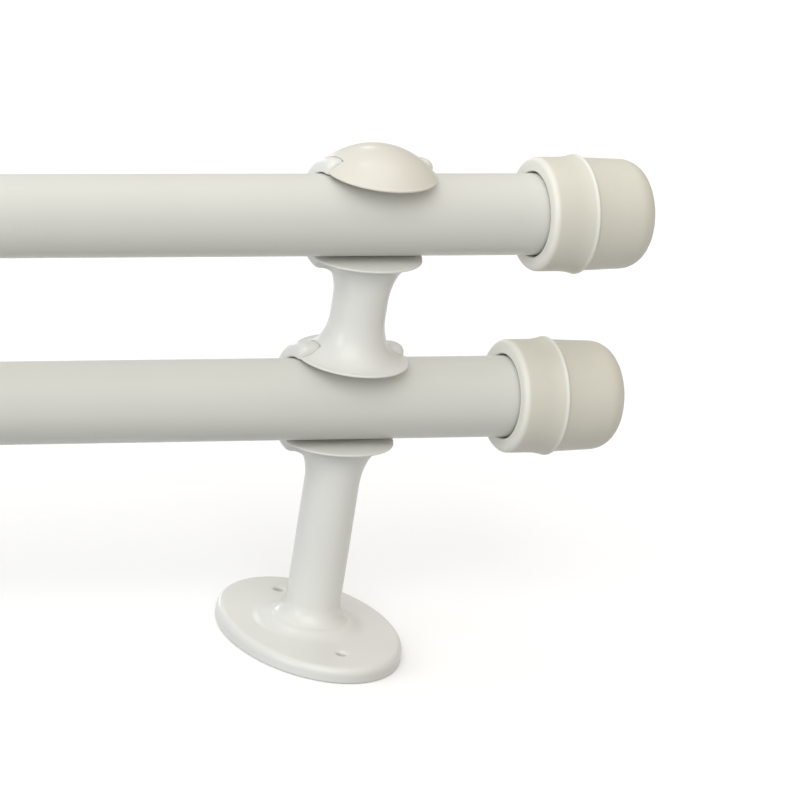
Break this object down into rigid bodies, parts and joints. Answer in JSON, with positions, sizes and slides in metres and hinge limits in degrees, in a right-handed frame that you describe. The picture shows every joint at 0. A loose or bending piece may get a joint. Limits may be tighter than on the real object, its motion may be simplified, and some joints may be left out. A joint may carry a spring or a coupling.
{
  "type": "double curtain rod with brackets",
  "caption": "Double curtain rod: two parallel round tubes with moulded end caps, held in open cradles on post brackets that stand on oval foot plates.",
  "frame": {"origin": "middle of the ground plane that both foot plates stand on, halfway between the two posts", "axes": "+X along the rods, towards the end that the picture shows; +Z along the posts, away from the surface that the plates are screwed to; -Y is the open side of the cradles. In use the plates go on a wall with +Z pointing into the room and -Y pointing up."},
  "size_m": [1.0062, 0.0842, 0.1832],
  "materials": {
    "enamel": "glossy warm white enamel on cast zinc or aluminium",
    "rod_enamel": "satin warm white enamel on drawn tube",
    "cream_plastic": "satin cream moulded plastic",
    "grey_plastic": "plain grey moulded plastic",
    "zinc_steel": "zinc-plated steel"
  },
  "bodies": {
    "brackets": {"right_base_bracket": "enamel", "right_extension_arm": "enamel", "right_dome_cap": "enamel", "right_arm_screw": "zinc_steel", "right_dome_screw": "zinc_steel", "left_base_bracket": "enamel", "left_extension_arm": "enamel", "left_dome_cap": "enamel", "left_arm_screw": "zinc_steel", "left_dome_screw": "zinc_steel"},
    "lower_rod": {"lower_rod": "rod_enamel"},
    "upper_rod": {"upper_rod": "rod_enamel"},
    "right_lower_end_cap": {"right_lower_end_cap": "cream_plastic", "right_lower_rod_plug": "grey_plastic"},
    "right_upper_end_cap": {"right_upper_end_cap": "cream_plastic", "right_upper_rod_plug": "grey_plastic"},
    "left_lower_end_cap": {"left_lower_end_cap": "cream_plastic", "left_lower_rod_plug": "grey_plastic"},
    "left_upper_end_cap": {"left_upper_end_cap": "cream_plastic", "left_upper_rod_plug": "grey_plastic"},
    "right_lower_lock_screw": {"right_lower_lock_screw": "zinc_steel"},
    "right_upper_lock_screw": {"right_upper_lock_screw": "zinc_steel"},
    "left_lower_lock_screw": {"left_lower_lock_screw": "zinc_steel"},
    "left_upper_lock_screw": {"left_upper_lock_screw": "zinc_steel"}
  },
  "joints": [
    {"name": "lower_rod_slide", "type": "slide", "parent": "brackets", "child": "lower_rod", "axis": [1, 0, 0], "range_m": [-0.04, 0.04]},
    {"name": "upper_rod_slide", "type": "slide", "parent": "brackets", "child": "upper_rod", "axis": [1, 0, 0], "range_m": [-0.04, 0.04]},
    {"name": "right_lower_cap_pull", "type": "slide", "parent": "lower_rod", "child": "right_lower_end_cap", "axis": [1, 0, 0], "range_m": [0, 0.032]},
    {"name": "right_upper_cap_pull", "type": "slide", "parent": "upper_rod", "child": "right_upper_end_cap", "axis": [1, 0, 0], "range_m": [0, 0.032]},
    {"name": "left_lower_cap_pull", "type": "slide", "parent": "lower_rod", "child": "left_lower_end_cap", "axis": [-1, 0, 0], "range_m": [0, 0.032]},
    {"name": "left_upper_cap_pull", "type": "slide", "parent": "upper_rod", "child": "left_upper_end_cap", "axis": [-1, 0, 0], "range_m": [0, 0.032]},
    {"name": "right_lower_lock_travel", "type": "slide", "parent": "brackets", "child": "right_lower_lock_screw", "axis": [0, 1, 0], "range_m": [0, 0.004]},
    {"name": "right_upper_lock_travel", "type": "slide", "parent": "brackets", "child": "right_upper_lock_screw", "axis": [0, 1, 0], "range_m": [0, 0.004]},
    {"name": "left_lower_lock_travel", "type": "slide", "parent": "brackets", "child": "left_lower_lock_screw", "axis": [0, 1, 0], "range_m": [0, 0.004]},
    {"name": "left_upper_lock_travel", "type": "slide", "parent": "brackets", "child": "left_upper_lock_screw", "axis": [0, 1, 0], "range_m": [0, 0.004]}
  ]
}
